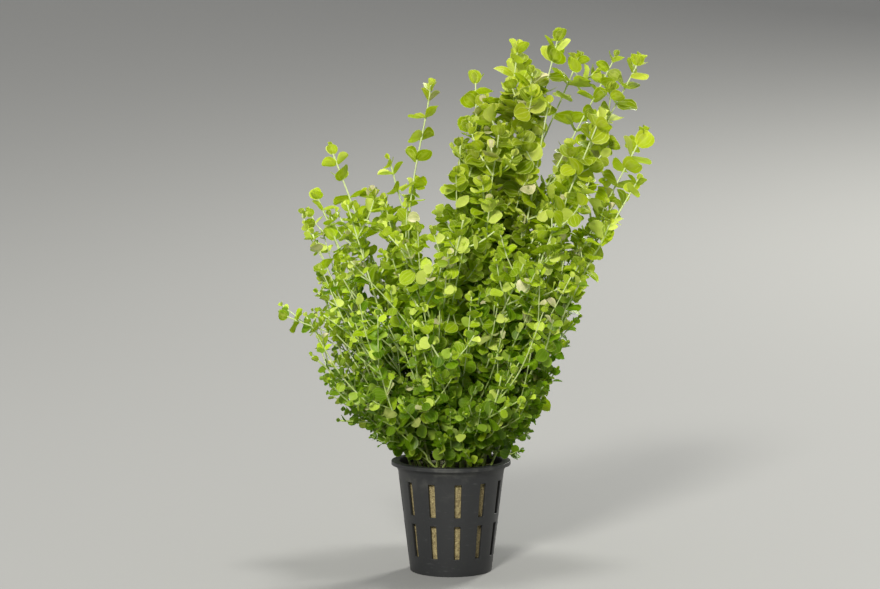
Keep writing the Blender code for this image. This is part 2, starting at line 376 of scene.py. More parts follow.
@dataclass(frozen=True)
class PotFinish:
    """Black moulded plastic with a fine grain, scuffs and a little dried scale."""

    name: str = "moulded_black"
    base: Colour = (0.017, 0.018, 0.019)
    scuff: Colour = (0.06, 0.062, 0.064)
    scale_bloom: Colour = (0.15, 0.15, 0.13)
    roughness: float = 0.40
    bloom_heights: Span = mm(30, 50)
    relief: float = 0.06 * MM

    def material(self) -> bpy.types.Material:
        """Wires the plastic up.

        Returns:
            The material.
        """
        w = Wires(self.name)
        place = w.place()
        grain = w.spots(place, 2600.0, 2.0)
        cloud = w.spots(place, 90.0, 4.0, 0.6)
        scuffs = w.spots(w.stretched(place, (1.0, 1.0, 6.0)), 220.0, 3.0, 0.65).rise(0.60, 0.72)
        bloom = w.height().rise(*self.bloom_heights) * cloud.rise(0.48, 0.70)
        skin = w.blend(scuffs * 0.5, self.base, self.scuff)
        sockets = {
            "Base Color": w.blend(bloom * 0.30, skin, self.scale_bloom),
            "Roughness": self.roughness + grain * 0.10 + bloom * 0.20 + scuffs * 0.12,
            "Normal": w.bump(grain + cloud * 0.4, self.relief, 0.35),
        }
        return w.done(w.skin(sockets))


@dataclass(frozen=True)
class WoolFinish:
    """Damp mineral wool: felted, yellow-brown, a little green where the light reaches it."""

    name: str = "damp_mineral_wool"
    pale: Colour = (0.42, 0.35, 0.17)
    dark: Colour = (0.13, 0.095, 0.04)
    green: Colour = (0.10, 0.14, 0.025)
    roughness: float = 0.90
    moss_heights: Span = mm(38, 47)
    relief: float = 0.5 * MM

    def material(self) -> bpy.types.Material:
        """Wires the wool up.

        Returns:
            The material.
        """
        w = Wires(self.name)
        place = w.place()
        felt = w.spots(w.stretched(place, (1.0, 1.0, 3.0)), 900.0, 4.0, 0.7)
        strands = w.spots(w.stretched(place, (1.0, 5.0, 1.0)), 500.0, 3.0, 0.6)
        moss = w.height().rise(*self.moss_heights) * w.spots(place, 110.0, 3.0).rise(0.42, 0.62)
        skin = w.blend((felt * 0.6 + strands * 0.4).rise(0.35, 0.65), self.dark, self.pale)
        sockets = {
            "Base Color": w.blend(moss * 0.65, skin, self.green),
            "Roughness": self.roughness - moss * 0.15,
            "Normal": w.bump(felt + strands * 0.6, self.relief, 0.8),
        }
        return w.done(w.skin(sockets))


@dataclass(frozen=True)
class FloorFinish:
    """Plain pale studio floor."""

    name: str = "pale_floor"
    base: Colour = (0.30, 0.30, 0.295)
    roughness: float = 0.75
    shine: float = 0.2

    def material(self) -> bpy.types.Material:
        """Wires the floor up.

        Returns:
            The material.
        """
        w = Wires(self.name)
        sockets = {"Base Color": self.base, "Roughness": self.roughness, "Specular IOR Level": self.shine}
        return w.done(w.skin(sockets))


# Lit and shaded copies of one leaf: the shaded finish is greener and darker, painted shade for the leaves
# low in the bush
SUN_LEAF = LeafFinish(
    name="sunlit_leaf",
    young=(0.70, 0.70, 0.08),
    grown=(0.55, 0.60, 0.014),
    shaded=(0.64, 0.87, 0.007),
    under=(0.64, 0.68, 0.15),
    vein=(0.90, 0.92, 0.32),
    blush=(0.92, 0.80, 0.58),
    glow=(0.78, 0.92, 0.014),
)
SHADE_LEAF = LeafFinish(
    name="shaded_leaf",
    young=(0.56, 0.70, 0.020),
    grown=(0.50, 0.73, 0.010),
    shaded=(0.20, 0.32, 0.004),
    under=(0.36, 0.46, 0.08),
    vein=(0.58, 0.70, 0.12),
    blush=(0.60, 0.62, 0.20),
    glow=(0.50, 0.76, 0.008),
)


# Where the shoots stand


@dataclass(frozen=True)
class Planting:
    """The line of every stem, from its foot in the wool to its tip, as the frame's shoots take it."""

    plug_top: float = 47 * MM
    hole_depth: float = 6 * MM
    hole_floor_gap: float = 0.5 * MM
    feet_reach: float = 19 * MM
    feet_spacing: float = 4 * MM
    feet_rounds: int = 300
    feet_push: float = 0.25
    stem_spacing: float = 3.4 * MM
    collar: float = 2 * MM
    step: float = 2 * MM
    curve_samples: int = 24
    bow: float = 9 * MM
    bend_rise: float = 0.45
    bend_lean: float = 0.30
    parting_rounds: int = 40
    parting_reach: int = 9
    parting_push: float = 0.2
    parting_start: float = 5 * MM
    seed: int = 5

    # Where each stem ends, in millimetres from the middle of the pot's foot
    tips_mm = {
        "crown": (
            (48, 2, 241), (30, 6, 236), (36, -8, 224), (58, 12, 232),
            (43, -13, 211), (11, 8, 222), (4, -10, 192), (21, -22, 199),
        ),
        "right": (
            (74, 8, 232), (84, -2, 230), (87, 6, 198), (83, -10, 177),
            (66, -18, 206), (62, 24, 190),
        ),
        "flank": ((67, 2, 151), (57, -24, 133), (52, 16, 114), (45, -4, 90)),
        "left": (
            (-9, 4, 219), (-28, 10, 186), (-35, -8, 172), (-54, 2, 191),
            (-46, -14, 166), (-61, 8, 170), (-62, -8, 153), (-55, 18, 130),
        ),
        "trailing": ((-76, 0, 116), (-62, -14, 99), (-58, 10, 86), (-50, -8, 69)),
        "front": (
            (-20, -36, 150), (5, -42, 160), (32, -38, 143),
            (-32, -42, 98), (0, -54, 104), (24, -46, 80),
        ),
        "back": (
            (-24, 40, 138), (4, 44, 158), (36, 44, 164), (-8, 52, 92), (30, 48, 96),
        ),
    }
    bends_mm = {
        "left_1": ((-19, 3, 145),),
        "trailing_1": ((-34, 5, 95),),
        "trailing_4": ((-30, -6, 66),),
    }

    def tips(self) -> dict[str, np.ndarray]:
        """Each shoot's name with the place of its tip."""
        parts = self.tips_mm.items()
        return {f"{part}_{n}": np.array(end) * MM for part, ends in parts for n, end in enumerate(ends, 1)}

    def feet(self, tips: Sequence[np.ndarray]) -> np.ndarray:
        """Feet drawn in from under the tips, then pushed apart until none crowds another.

        Args:
            tips: The shoots' ends.

        Returns:
            One foot for each, as X and Y.
        """
        plan = np.array([tip[:2] for tip in tips])
        feet = plan * self.feet_reach / np.linalg.norm(plan, axis=1).max()
        for _ in range(self.feet_rounds):
            apart = feet[:, None] - feet[None]
            distance = np.maximum(np.linalg.norm(apart, axis=2), TOUCHING)
            crowding = np.clip(self.feet_spacing - distance, 0, None) / distance
            feet = feet + self.feet_push * (apart * crowding[:, :, None]).sum(axis=1)
            reach = np.linalg.norm(feet, axis=1)
            feet = feet * np.minimum(1.0, self.feet_reach / np.maximum(reach, MM))[:, None]
        return feet

    def route(self, name: str, tip: np.ndarray, foot: np.ndarray, chance: random.Random) -> np.ndarray:
        """Leads one stem straight up out of its hole, then in a slow bow to its tip.

        Args:
            name: The shoot's name.
            tip: Its end.
            foot: Where it stands, as X and Y.
            chance: The run of chance that bows it.

        Returns:
            Its line.
        """
        start = np.array([*foot, self.plug_top - self.hole_depth + self.hole_floor_gap])
        collar = np.array([*foot, self.plug_top + self.collar])
        bow = np.array([*(chance.uniform(-self.bow, self.bow) for _ in range(2)), 0])
        if name in self.bends_mm:
            bends = np.array(self.bends_mm[name]) * MM
        else:
            share = np.array([self.bend_lean, self.bend_lean, self.bend_rise])
            bends = (collar + (tip - collar) * share + bow)[None]
        return smooth_curve(np.vstack([start, collar, bends, tip]), self.step, self.curve_samples)

    def part(self, paths: list[np.ndarray]) -> list[np.ndarray]:
        """Bends the stems round each other where they would touch. Feet and tips stay.

        Args:
            paths: Their lines.

        Returns:
            The lines, parted.
        """
        kernel = np.hanning(self.parting_reach + 2)[1:-1]
        for _ in range(self.parting_rounds):
            tree = KDTree(sum(len(path) for path in paths))
            owners = []
            for owner, path in enumerate(paths):
                for point in path:
                    tree.insert(point, len(owners))
                    owners.append(owner)
            tree.balance()
            for owner, path in enumerate(paths):
                push = np.zeros_like(path)
                for place, point in enumerate(path):
                    for other, index, distance in tree.find_range(point, self.stem_spacing):
                        if owners[index] != owner:
                            away = (point - np.array(other)) / max(distance, TOUCHING)
                            push[place] += self.parting_push * away * (self.stem_spacing - distance)
                if push.any():
                    spread = [np.convolve(push[:, k], kernel, "same") for k in range(3)]
                    above = (path[:, 2] - self.plug_top - self.collar) / self.parting_start
                    below = np.arange(len(path))[::-1] / self.parting_reach
                    free = np.clip(np.minimum(above, below), 0, 1)
                    path += np.column_stack(spread) * free[:, None]
        return paths

    def lines(self) -> dict[str, np.ndarray]:
        """Works out where every stem runs.

        Returns:
            Each shoot's name with its line.
        """
        chance = random.Random(self.seed)
        tips = self.tips()
        feet = self.feet(list(tips.values()))
        routes = [self.route(name, tips[name], foot, chance) for name, foot in zip(tips, feet)]
        return dict(zip(tips, self.part(routes)))


def distance_along(path: np.ndarray) -> np.ndarray:
    """How far along the path each of its points lies."""
    return np.r_[0, np.cumsum(np.linalg.norm(np.diff(path, axis=0), axis=1))]


def smooth_curve(points: np.ndarray, step: float, samples: int = 24) -> np.ndarray:
    """Points a step apart on a Catmull-Rom curve through the given ones.

    Args:
        points: The points that the curve passes.
        step: How far apart the new points are.
        samples: How finely each stretch of the curve is measured.

    Returns:
        The new points.
    """
    ends = np.vstack([2 * points[0] - points[1], points, 2 * points[-1] - points[-2]])
    drawn = []
    for before, start, end, after in zip(ends, ends[1:], ends[2:], ends[3:]):
        for t in np.linspace(0, 1, samples, endpoint=False):
            bend = 2 * before - 5 * start + 4 * end - after
            twist = 3 * start - before - 3 * end + after
            drawn.append(start + 0.5 * ((end - before) * t + bend * t**2 + twist * t**3))
    drawn = np.array([*drawn, points[-1]])
    along = distance_along(drawn)
    wanted = np.linspace(0, along[-1], max(3, round(along[-1] / step)))
    return np.column_stack([np.interp(wanted, along, drawn[:, k]) for k in range(3)])


def point_at(path: np.ndarray, along: np.ndarray, place: float) -> Vector:
    """The point of a path that lies that far along it."""
    return Vector([float(np.interp(place, along, path[:, k])) for k in range(3)])


# Small meshes


def into_mesh(name: str, bm: Shape) -> bpy.types.Mesh:
    """Turns a bmesh into a smooth mesh and frees it.

    Args:
        name: The mesh's name.
        bm: The bmesh.

    Returns:
        The mesh.
    """
    for face in bm.faces:
        face.smooth = True
    mesh = bpy.data.meshes.new(name)
    bm.to_mesh(mesh)
    bm.free()
    return mesh


def join_in(bm: Shape, part: bpy.types.Mesh) -> None:
    """Adds a passing mesh to a bmesh, and removes it."""
    bm.from_mesh(part)
    bpy.data.meshes.remove(part)


def turn_section(section: Sequence[Span], steps: int, closed: bool) -> Shape:
    """Turns a section once about the Z axis.

    Args:
        section: Its corners, as radius and height.
        steps: How many steps the turn has.
        closed: Whether its last corner joins its first.

    Returns:
        The turned shape.
    """
    bm = bmesh.new()
    corners = [bm.verts.new((radius, 0.0, height)) for radius, height in section]
    edges = [bm.edges.new(pair) for pair in zip(corners, corners[1:] + corners[: int(closed)])]
    bmesh.ops.spin(
        bm,
        geom=corners + edges,
        axis=(0.0, 0.0, 1.0),
        cent=(0.0, 0.0, 0.0),
        angle=math.tau,
        steps=steps,
        use_merge=True,
    )
    bmesh.ops.remove_doubles(bm, verts=bm.verts[:], dist=TOUCHING)
    return bm


def add_piece(
    name: str, mesh: bpy.types.Mesh, materials: Sequence[bpy.types.Material]
) -> bpy.types.Object:
    """Puts a finished mesh in the scene as a piece that rides on the plant's one body.

    Args:
        name: The piece's name.
        mesh: Its mesh, in place.
        materials: Its materials, in the order that its faces use.

    Returns:
        The new object.
    """
    for material in materials:
        mesh.materials.append(material)
    piece = bpy.data.objects.new(name, mesh)
    bpy.context.scene.collection.objects.link(piece)
    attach(piece, "root")
    return piece


def draw_tube(points: Sequence[Vector], radii: Sequence[float], sides: int) -> Shape:
    """A closed tube along a line, drawn out of a short prism ring by ring.

    Args:
        points: The line's points.
        radii: The tube's radius at each of them.
        sides: How many sides it has.

    Returns:
        The tube as a bmesh.
    """
    heading = (points[1] - points[0]).normalized()
    turn = heading.to_track_quat("Z", "Y")
    length = (points[1] - points[0]).length
    bm = bmesh.new()
    matrix = Matrix.Translation((points[0] + points[1]) / 2) @ turn.to_matrix().to_4x4()
    bmesh.ops.create_cone(
        bm,
        cap_ends=True,
        segments=sides,
        radius1=radii[0],
        radius2=radii[1],
        depth=length,
        matrix=matrix,
    )
    bm.normal_update()
    cap = max(bm.faces, key=lambda face: face.normal.dot(heading) if len(face.verts) == sides else -2.0)
    for index in range(2, len(points)):
        onward = (points[index] - points[index - 1]).normalized()
        turn = heading.rotation_difference(onward).to_matrix().to_4x4()
        scale = Matrix.Scale(radii[index] / radii[index - 1], 4)
        move = Matrix.Translation(points[index]) @ turn @ scale @ Matrix.Translation(-points[index - 1])
        cap = bmesh.ops.extrude_discrete_faces(bm, faces=[cap])["faces"][0]
        bmesh.ops.transform(bm, matrix=move, verts=cap.verts)
        heading = onward
    return bm


@dataclass(frozen=True)
class Bend:
    """How far a blade departs from flat, as shares of its length."""

    cup: float
    arch: float
    fold: float
    wave: float


class LeafForm(Enum):
    """The ways in which blades are bent."""

    FLAT = Bend(cup=0.30, arch=0.10, fold=0.15, wave=0.02)
    FOLDED = Bend(cup=0.15, arch=0.12, fold=0.80, wave=0.02)
    CUPPED = Bend(cup=0.95, arch=-0.20, fold=0.05, wave=0.02)
    ARCHED = Bend(cup=-0.30, arch=0.45, fold=0.12, wave=0.03)
    WAVY = Bend(cup=0.20, arch=0.20, fold=0.08, wave=0.07)
    BUD = Bend(cup=1.50, arch=-0.60, fold=0.35, wave=0.00)


class LeafTone(Enum):
    """Which of the two leaf finishes a blade wears, by its material slot."""

    SUN = 1
    SHADE = 2


@dataclass
class BladeStock:
    """One round blade of each form and finish, a unit long, from which all leaves are copied."""

    sides: int = 12
    inner_ring: float = 0.17
    width: float = 1.02
    taper: float = 0.05
    stalk: float = 0.05
    stalk_fade: float = 9.0
    thickness: float = 0.035
    crease: float = -0.2
    blades: dict[tuple[LeafForm, LeafTone], bpy.types.Mesh] = field(default_factory=dict)

    def build(self) -> None:
        """Makes the whole stock."""
        for form in LeafForm:
            for tone in LeafTone:
                self.blades[form, tone] = self.blade(form, tone)
        log.info("blades: %d kinds of %d faces", len(self.blades), 4 * self.sides)

    def blade(self, form: LeafForm, tone: LeafTone) -> bpy.types.Mesh:
        """Makes one closed blade: two skins of one outline that meet at a sharp margin.

        Args:
            form: How it is bent.
            tone: Which finish it wears.

        Returns:
            Its mesh, with its stalk at the origin.
        """
        bm = bmesh.new()
        uv = bm.loops.layers.uv.new(BLADE_MAP)
        tint = bm.verts.layers.float_vector.new(TINT)
        bmesh.ops.create_circle(bm, cap_ends=True, segments=self.sides, radius=0.5)
        if bm.faces[:][0].normal.z < 0:
            bmesh.ops.reverse_faces(bm, faces=bm.faces)
        bmesh.ops.inset_region(bm, faces=bm.faces[:], thickness=self.inner_ring)
        bmesh.ops.poke(bm, faces=[max(bm.faces, key=lambda face: len(face.verts))])
        for face in bm.faces:
            for loop in face.loops:
                loop[uv].uv = (loop.vert.co.x + 0.5, loop.vert.co.y + 0.5)
        upper = bm.verts[:]
        twin = bmesh.ops.duplicate(bm, geom=bm.verts[:] + bm.edges[:] + bm.faces[:])["geom"]
        lower = [part for part in twin if isinstance(part, bmesh.types.BMVert)]
        bmesh.ops.reverse_faces(bm, faces=[p for p in twin if isinstance(p, bmesh.types.BMFace)])
        for vert in upper:
            vert.co.z = self.lift(vert.co, form.value)
        for vert in lower:
            depth = self.thickness * (1.0 - 4.0 * vert.co.xy.length_squared)
            vert.co.z = self.lift(vert.co, form.value) - max(0.0, depth)
            vert[tint] = Vector((0.0, 0.0, 1.0 if depth > 0.001 else 0.5))
        bmesh.ops.remove_doubles(bm, verts=bm.verts[:], dist=1e-5)
        for vert in bm.verts:
            along = vert.co.y + 0.5
            vert.co.x *= self.width * (1.0 + self.taper * (0.5 - along))
            vert.co.y = along - self.stalk * max(0.0, 1.0 - self.stalk_fade * along)
        for edge in bm.edges:
            sides = [face.normal for face in edge.link_faces]
            edge.smooth = sides[0].dot(sides[1]) > self.crease
        for face in bm.faces:
            face.material_index = tone.value
        return into_mesh(f"blade_{form.name}_{tone.name}".lower(), bm)

    @staticmethod
    def lift(spot: Vector, bend: Bend) -> float:
        """Works out how high the blade's bend raises a point of the flat disc.

        Args:
            spot: The point.
            bend: The bend.

        Returns:
            The height.
        """
        along = spot.y + 0.5
        turn = math.atan2(spot.y, spot.x)
        reach = 2.0 * spot.xy.length
        bowl = bend.cup * spot.x * spot.x
        crest = -bend.arch * along * along * 0.5 + bend.fold * abs(spot.x) * 0.6
        return bowl + crest + bend.wave * math.sin(3.0 * turn + 0.8) * reach * reach


@dataclass
class Crowd:
    """Remembers where blades are, as discs, so that new ones find room between them."""

    cell: float = 9 * MM
    stacking: float = 1.1 * MM
    snugness: float = 0.86
    taken: dict[tuple[int, int, int], list[tuple[Vector, Vector, float]]] = field(default_factory=dict)

    def key(self, spot: Vector) -> tuple[int, int, int]:
        """The cell that a spot lies in."""
        return tuple(math.floor(part / self.cell) for part in spot)

    def free(self, middle: Vector, facing: Vector, reach: float) -> bool:
        """Says whether a disc would clear every other.

        Args:
            middle: The disc's middle.
            facing: The way that it faces.
            reach: Its radius.

        Returns:
            True if it cuts through none and lies flat on none.
        """
        for cell in product(*((part - 1, part, part + 1) for part in self.key(middle))):
            for other, way, width in self.taken.get(cell, ()):
                apart = middle - other
                if apart.length > self.snugness * (reach + width):
                    continue
                slant = facing.cross(way).length * self.snugness
                above = abs(apart.dot(way)) > max(self.stacking, reach * slant)
                below = abs(apart.dot(facing)) > max(self.stacking, width * slant)
                if not (above or below):
                    return False
        return True

    def claim(self, middle: Vector, facing: Vector, reach: float) -> None:
        """Notes a disc."""
        self.taken.setdefault(self.key(middle), []).append((middle.copy(), facing.copy(), reach))


@dataclass(frozen=True)
class Clearing:
    """A gap in the crown that shows from the front, as a slanting band in X and Z."""

    top: Span
    foot: Span
    half_width: float

    def holds(self, spot: Vector) -> bool:
        """Says whether a spot lies in the band.

        Args:
            spot: The spot.

        Returns:
            True if it does.
        """
        share = (spot.z - self.foot[1]) / (self.top[1] - self.foot[1])
        middle = self.foot[0] + (self.top[0] - self.foot[0]) * share
        return 0.0 < share < 1.0 and abs(spot.x - middle) < self.half_width


@dataclass(frozen=True)
class Outline:
    """How far the foliage spreads at each height, and where it is parted."""

    heights: tuple[float, ...] = mm(42, 55, 65, 75, 90, 105, 118, 135, 150, 165, 180, 200, 225, 249)
    left: tuple[float, ...] = mm(-33, -39, -48, -60, -70, -76, -84, -66, -66, -68, -68, -61, -22, 20)
    right: tuple[float, ...] = mm(34, 40, 46, 52, 58, 62, 62, 66, 71, 79, 92, 95, 93, 90)
    depth: tuple[float, ...] = mm(34, 42, 50, 56, 60, 61, 60, 58, 55, 50, 44, 38, 30, 22)
    lobe_depth: float = 0.34
    lobe_scale: float = 42.0
    lobes_below: float = 120 * MM
    lobe_fade: float = 30 * MM
    rim_radius: float = 28.5 * MM
    rim_height: float = 51 * MM
    clearings: tuple[Clearing, ...] = (
        Clearing(mm(47, 214), mm(42, 178), 3.6 * MM),
        Clearing(mm(2, 222), mm(-7, 176), 4.5 * MM),
    )

    def dent(self, spot: Vector) -> float:
        """How far in side shoots stop, as a share of the spread. It parts low growth in lobes."""
        lobed = min(1.0, max(0.0, (self.lobes_below - spot.z) / self.lobe_fade))
        return self.lobe_depth * lobed * (0.5 + 0.5 * noise.noise(spot * self.lobe_scale))

    def holds(self, spot: Vector, inset: float = 0.0) -> bool:
        """Says whether foliage may grow at a spot.

        Args:
            spot: The spot.
            inset: How far in from the outline it must stay, as a share of the spread.

        Returns:
            True if it may.
        """
        if not self.heights[0] < spot.z < self.heights[-1]:
            return False
        if spot.z < self.rim_height and spot.xy.length < self.rim_radius:
            return False
        sides = (self.left, self.right, self.depth)
        left, right, depth = (float(np.interp(spot.z, self.heights, side)) for side in sides)
        centre, half = (left + right) / 2, (right - left) / 2
        if ((spot.x - centre) / half) ** 4 + (spot.y / depth) ** 4 > (1.0 - inset) ** 4:
            return False
        return not any(clearing.holds(spot) for clearing in self.clearings)


@dataclass(frozen=True)
class Habit:
    """How a shoot grows, from the tip down: gaps between pairs, blade sizes and angles."""

    gaps: tuple[float, ...]
    blades: tuple[float, ...]
    stem_radius: float
    tip_radius: float
    node_swell: float = 1.30
    node_reach: float = 0.05 * MM
    gap_play: float = 0.16
    blade_play: float = 0.12
    turn_play: float = 14.0

    def gap(self, rank: int, chance: random.Random) -> float:
        """The gap below a pair, by its rank from the tip."""
        gap = self.gaps[min(rank, len(self.gaps) - 1)]
        return gap * chance.uniform(1 - self.gap_play, 1 + self.gap_play)

    def blade(self, rank: int, chance: random.Random) -> float:
        """The length of a pair's blades, by its rank from the tip."""
        size = self.blades[min(rank, len(self.blades) - 1)]
        return size * chance.uniform(1 - self.blade_play, 1 + self.blade_play)


MAIN_HABIT = Habit(mm(2.4, 4.6, 6.6, 8.0, 8.8), mm(3.2, 5.4, 7.2, 8.2, 8.4), 0.50 * MM, 0.34 * MM)
SIDE_HABIT = Habit(mm(2.2, 3.8, 5.4, 6.4, 7.0), mm(2.8, 4.6, 6.0, 6.8, 7.2), 0.38 * MM, 0.27 * MM)
SPROUT_HABIT = Habit(mm(2.0, 3.4, 4.8, 5.8, 6.6), mm(2.6, 4.2, 5.2, 5.8, 6.0), 0.30 * MM, 0.22 * MM)
STRAND_HABIT = Habit(mm(2.6, 5.4, 8.4, 10.5, 12.0), mm(2.4, 3.6, 4.4, 4.8, 5.0), 0.36 * MM, 0.22 * MM)


@dataclass(frozen=True)
class Thicket:
    """The thin growth that closes the bush: how many of a kind each shoot has, and between what bounds."""

    count: int
    habit: Habit
    heights: Span
    lengths: Span
    rises: Span


# Low sprouts, then sprouts that fill the middle, then long strands that rise through the bush
THICKETS = (
    Thicket(10, SPROUT_HABIT, mm(50, 78), mm(12, 40), (-0.1, 0.7)),
    Thicket(4, SPROUT_HABIT, mm(88, 160), mm(14, 34), (0.4, 2.0)),
    Thicket(4, STRAND_HABIT, mm(51, 96), mm(34, 72), (0.5, 2.0)),
)

# How large the leaves of each part of the plant grow
VIGOUR = {
    "crown": 1.12, "right": 1.00, "flank": 0.90, "left": 0.84, "trailing": 0.82, "front": 0.94, "back": 0.96
}

# How long the ends are that stand clear of the bush, with leaf pairs alone, in millimetres
CLEAR_ENDS = {
    "left_1": 64, "left_2": 22, "left_4": 36, "left_6": 24, "trailing_1": 28,
    "right_1": 26, "right_2": 26, "right_3": 30,
}

# How often a grown leaf has each bend
GROWN_FORMS = {
    LeafForm.FLAT: 3, LeafForm.FOLDED: 2, LeafForm.CUPPED: 3, LeafForm.ARCHED: 2, LeafForm.WAVY: 2
}


@dataclass
class Shoot:
    """One rooted shoot with its side shoots, sprouts and leaves, made as one mesh."""

    name: str
    line: np.ndarray
    stock: BladeStock
    crowd: Crowd
    outline: Outline
    lowest_height: float = 53 * MM
    # Side shoots: how many a leaf pair has, their lengths, and the degrees by which they leave the stem
    side_share: float = 1.1
    side_lengths: Span = mm(12, 42)
    side_leans: Span = (28, 60)
    side_rises: Span = (0.2, 0.9)
    # The end that has leaf pairs alone, and the least vigour of a long one
    clear_end: float = 13 * MM
    clear_vigour: float = 0.96
    # Thin growth: how far it fans out, how it turns up, and the room that it needs past its tip
    fan: float = 0.9
    curl: Span = (-0.2, 0.8)
    end_room: float = 3 * MM
    # Leaves: their size by height, and in degrees how they stand, upright when young and level when grown
    leaf_heights: tuple[float, ...] = mm(60, 110, 190)
    leaf_sizes: tuple[float, ...] = (0.80, 0.90, 1.06)
    bud_raise: float = 62
    leaf_drop: float = 54
    raise_play: float = 20
    roll_play: float = 26
    leaf_room: float = 0.48
    grown_rank: float = 4.0
    bud_age: float = 0.2
    tip_gap: float = 0.4 * MM
    stem_step: float = 2 * MM
    leaf_offset: float = 0.3 * MM
    # Light: how many leaves wear the sunlit finish by height, the rest the shaded one (painted light and
    # shade), and how far a leaf turns outwards and up to face it
    sunny_heights: Span = mm(70, 140)
    sunny_shares: Span = (0.12, 1.0)
    light_spread: Span = (0.5, 1.3)
    light_lean: float = 1.1
    light_share: float = 0.55
    tries: int = 9
    sides: int = 6
    ring_gap: float = 3.2 * MM
    ring_least: float = 0.4 * MM
    leaf_count: int = 0
    side_count: int = 0

    def __post_init__(self) -> None:
        """Starts the shoot's own run of chance and its empty mesh."""
        self.chance = random.Random(f"leafy {self.name}")
        self.bm = bmesh.new()
        self.bm.loops.layers.uv.new(BLADE_MAP)
        self.tint = self.bm.verts.layers.float_vector.new(TINT)
        self.vigour = VIGOUR[self.name.split("_")[0]] * self.chance.uniform(0.94, 1.06)
        if self.name in CLEAR_ENDS:
            self.clear_end = CLEAR_ENDS[self.name] * MM
            self.vigour = max(self.vigour, self.clear_vigour)

    def size_at(self, height: float) -> float:
        """How large leaves grow at a height: small low down in the thick of the bush."""
        return float(np.interp(height, self.leaf_heights, self.leaf_sizes))

    def add_stem(self, line: np.ndarray, nodes: Sequence[float], habit: Habit) -> None:
        """Adds the tube of a stem, a little swollen at its nodes.

        Args:
            line: Its line.
            nodes: How far along it the leaf pairs are.
            habit: Its sizes.
        """
        along = distance_along(line)
        length = float(along[-1])
        count = max(3, round(length / self.ring_gap))
        stations = sorted({*np.linspace(0, length, count).tolist(), *[n for n in nodes if 0 < n < length]})
        kept = [stations[0]]
        for station in stations[1:]:
            if station - kept[-1] > self.ring_least:
                kept.append(station)
        points = [point_at(line, along, station) for station in kept]
        radii = []
        for station in kept:
            radius = habit.stem_radius + (habit.tip_radius - habit.stem_radius) * station / length
            swell = habit.node_swell if any(abs(station - n) < habit.node_reach for n in nodes) else 1.0
            radii.append(radius * swell)
        join_in(self.bm, into_mesh("tube", draw_tube(points, radii, self.sides)))

    def add_leaf(self, base: Vector, outward: Vector, upward: Vector, size: float, age: float) -> bool:
        """Adds one leaf, turned until it has room.

        Args:
            base: Where it leaves the stem.
            outward: The way that it grows, square to the stem.
            upward: The way that the stem grows.
            size: Its length.
            age: 0 for the youngest and 1 for a grown one.

        Returns:
            True if it found room.
        """
        chance = self.chance
        reach = size * self.leaf_room * (0.4 + 0.6 * age)
        for _ in range(self.tries):
            raised = math.radians(self.bud_raise - self.leaf_drop * age + chance.gauss(0, self.raise_play))
            rolled = math.radians(chance.gauss(0, self.roll_play))
            axis = outward * math.cos(raised) + upward * math.sin(raised)
            middle = base + axis * size * 0.5
            across, upper = self.face_light(axis, outward.cross(upward), middle, rolled, age)
            fits = self.outline.holds(middle) and self.outline.holds(base + axis * size)
            if fits and self.crowd.free(middle, upper, reach):
                break
        else:
            return False
        self.crowd.claim(middle, upper, reach)
        turned = Matrix((across, axis, upper)).transposed().to_4x4()
        matrix = Matrix.Translation(base) @ turned @ Matrix.Scale(size, 4)
        before = len(self.bm.verts)
        self.bm.from_mesh(self.stock.blades[self.pick_form(age), self.pick_tone(middle.z)])
        self.bm.verts.ensure_lookup_table()
        shade = chance.random()
        for vert in self.bm.verts[before:]:
            vert.co = matrix @ vert.co
            vert[self.tint] = Vector((shade, age, vert[self.tint].z))
        self.leaf_count += 1
        return True

    def face_light(
        self, axis: Vector, level: Vector, middle: Vector, rolled: float, age: float
    ) -> tuple[Vector, Vector]:
        """Turns a blade about its own length, partly towards the light.

        Args:
            axis: The way that the blade grows.
            level: The way across it, as the stem gives it.
            middle: Where its middle is.
            rolled: How far chance turns it.
            age: 0 for the youngest and 1 for a grown one.

        Returns:
            The way across the blade and the way that its upper side faces.
        """
        upper = level.cross(axis).normalized()
        out = Vector((self.light_spread[0] * middle.x, self.light_spread[1] * middle.y, 0.0))
        light = out.normalized() * self.light_lean + Vector((0.0, 0.0, 1.0))
        upper = upper.lerp(light.normalized(), self.light_share * age)
        upper = (upper - axis * upper.dot(axis)).normalized()
        across = axis.cross(upper)
        across = across * math.cos(rolled) + upper * math.sin(rolled)
        return across, across.cross(axis)

    def pick_form(self, age: float) -> LeafForm:
        """A bend for a leaf of that age."""
        forms, weights = list(GROWN_FORMS), list(GROWN_FORMS.values())
        return LeafForm.BUD if age < self.bud_age else self.chance.choices(forms, weights)[0]

    def pick_tone(self, height: float) -> LeafTone:
        """Picks the sunlit finish high up and the shaded one low down, with a mixed zone between: painted
        light and shade.
        """
        sunny = float(np.interp(height, self.sunny_heights, self.sunny_shares))
        return LeafTone.SUN if self.chance.random() < sunny else LeafTone.SHADE

